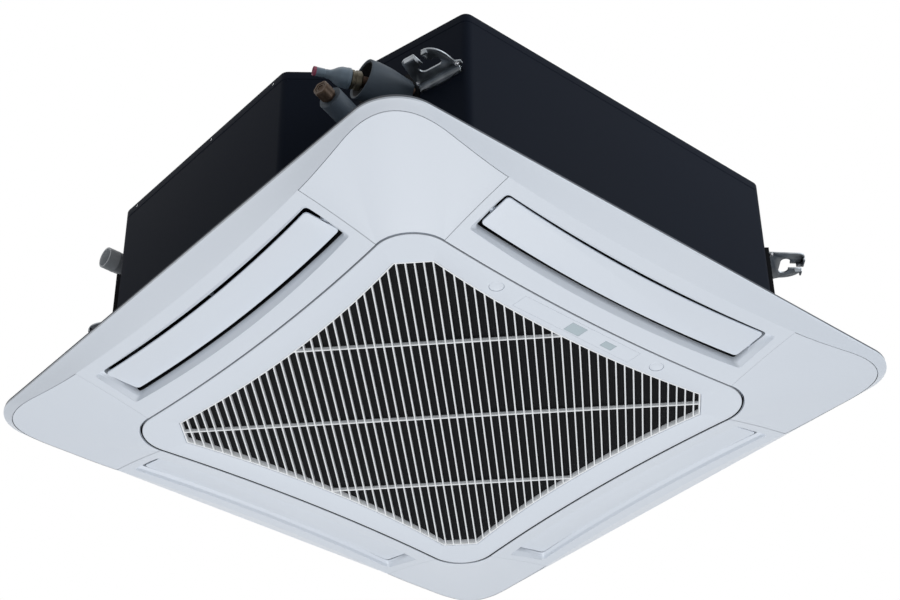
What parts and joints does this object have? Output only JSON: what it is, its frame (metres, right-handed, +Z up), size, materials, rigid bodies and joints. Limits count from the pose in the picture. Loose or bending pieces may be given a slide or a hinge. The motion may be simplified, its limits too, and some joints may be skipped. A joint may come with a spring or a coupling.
{
  "type": "ceiling cassette air conditioner",
  "caption": "Ceiling-recessed air conditioner: square body on slotted hangers, centrifugal fan and coil inside, square outlet panel with a louvre on each side round a hinged intake grille.",
  "frame": {"origin": "centre of the intake grille's bottom face, which is the lowest plane of the unit", "axes": "+Z up to the slab; the grille's latches and display are on the -Y side and its hinge on the +Y side; the pipes leave at the -X -Y corner"},
  "size_m": [0.95, 0.95, 0.31],
  "materials": {
    "body_paint": "dark slate satin paint",
    "body_black": "black satin paint",
    "foam": "dark expanded foam",
    "fins": "dull aluminium fins",
    "black_plastic": "black matt plastic",
    "zinc": "galvanised steel",
    "grey_plastic": "grey PVC",
    "copper": "bare copper",
    "brass": "brass",
    "cap_plastic": "grey-blue plastic cap",
    "red_plastic": "red plastic",
    "sleeve_foam": "grey closed-cell foam",
    "white_plastic": "cool white ABS, satin",
    "window": "pale grey translucent window",
    "filter_mesh": "black mesh filter"
  },
  "bodies": {
    "unit": {"casing": "body_paint", "insulation_liner": "foam", "drain_pan": "foam", "coil": "fins", "bell_mouth": "black_plastic", "fan_motor": "zinc", "electrical_box": "zinc", "electrical_lid": "zinc", "pipe_plate": "body_paint", "drain_stub": "grey_plastic", "suction_pipe": "copper", "suction_nut": "brass", "suction_cap": "cap_plastic", "suction_cap_tip": "red_plastic", "suction_sleeve": "sleeve_foam", "liquid_pipe": "copper", "liquid_nut": "brass", "liquid_sleeve": "sleeve_foam", "hanger_1": "zinc", "hanger_2": "zinc", "hanger_3": "zinc", "hanger_4": "zinc", "corner_plate_2": "body_black", "corner_plate_3": "body_black", "corner_plate_4": "body_black", "panel_frame": "white_plastic", "corner_cover_1": "white_plastic", "corner_cover_2": "white_plastic", "corner_cover_3": "white_plastic", "corner_cover_4": "white_plastic", "louvre_motor_1": "black_plastic", "louvre_motor_2": "black_plastic", "louvre_motor_3": "black_plastic", "louvre_motor_4": "black_plastic", "hinge_pin_left": "zinc", "hinge_pin_right": "zinc"},
    "fan": {"fan": "black_plastic"},
    "grille": {"grille": "white_plastic", "filter": "filter_mesh", "display_strip": "white_plastic", "receiver_window": "window", "lamp_window": "window"},
    "latch_left": {"latch_left": "white_plastic"},
    "latch_right": {"latch_right": "white_plastic"},
    "louvre_1": {"louvre_1": "white_plastic"},
    "louvre_2": {"louvre_2": "white_plastic"},
    "louvre_3": {"louvre_3": "white_plastic"},
    "louvre_4": {"louvre_4": "white_plastic"}
  },
  "joints": [
    {"name": "fan_spin", "type": "hinge", "parent": "unit", "child": "fan", "pos_m": [0, 0, 0.222], "axis": [0, 0, 1], "continuous": true},
    {"name": "grille_hinge", "type": "hinge", "parent": "unit", "child": "grille", "pos_m": [0, 0.303, 0.0022], "axis": [1, 0, 0], "range_deg": [0, 75]},
    {"name": "latch_left_push", "type": "slide", "parent": "grille", "child": "latch_left", "axis": [0, 0, 1], "range_m": [0, 0.0025], "stiffness_N_per_m": 300, "springref_m": -0.01},
    {"name": "latch_right_push", "type": "slide", "parent": "grille", "child": "latch_right", "axis": [0, 0, 1], "range_m": [0, 0.0025], "stiffness_N_per_m": 300, "springref_m": -0.01},
    {"name": "louvre_1_tilt", "type": "hinge", "parent": "unit", "child": "louvre_1", "pos_m": [0, 0.387, 0.029], "axis": [-1, 0, 0], "range_deg": [0, 55]},
    {"name": "louvre_2_tilt", "type": "hinge", "parent": "unit", "child": "louvre_2", "pos_m": [-0.387, 0, 0.029], "axis": [0, -1, 0], "range_deg": [-7.5, 47.5]},
    {"name": "louvre_3_tilt", "type": "hinge", "parent": "unit", "child": "louvre_3", "pos_m": [0, -0.387, 0.029], "axis": [1, 0, 0], "range_deg": [0, 55]},
    {"name": "louvre_4_tilt", "type": "hinge", "parent": "unit", "child": "louvre_4", "pos_m": [0.387, 0, 0.029], "axis": [0, 1, 0], "range_deg": [0, 55]}
  ]
}
